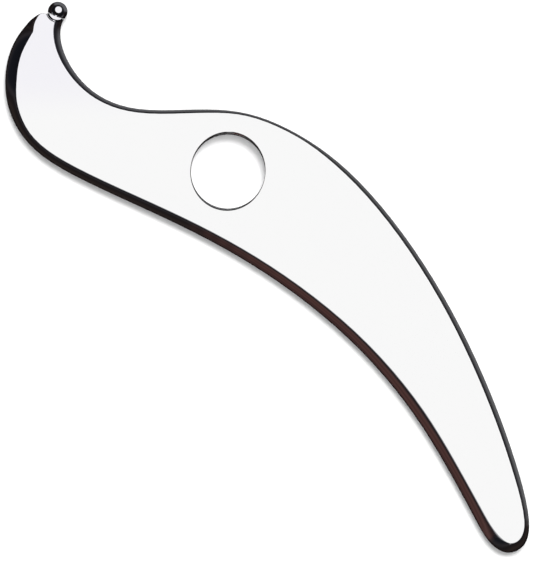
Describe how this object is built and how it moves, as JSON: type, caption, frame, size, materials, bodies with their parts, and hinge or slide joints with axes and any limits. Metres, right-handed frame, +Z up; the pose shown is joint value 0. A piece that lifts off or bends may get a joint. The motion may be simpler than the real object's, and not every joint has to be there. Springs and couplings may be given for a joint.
{
  "type": "gua sha scraper",
  "caption": "Flat curved steel massage scraper with bevelled edges, a round finger hole and a hooked horn that ends in a small pressure ball.",
  "frame": {"origin": "centre of the tool's box, on the surface that the tool lies on", "axes": "+Z up through the plate's thickness, +X along the tool from the ball end to the blade's tip, +Y towards the blade's convex edge"},
  "size_m": [0.2058, 0.0616, 0.006],
  "materials": {
    "blade_steel": "mirror-polished stainless steel",
    "collar_steel": "mirror-polished stainless steel",
    "tip_steel": "mirror-polished stainless steel"
  },
  "bodies": {
    "root": {"scraper_blade": "blade_steel", "seat_collar": "collar_steel", "ball_tip": "tip_steel"}
  },
  "joints": []
}
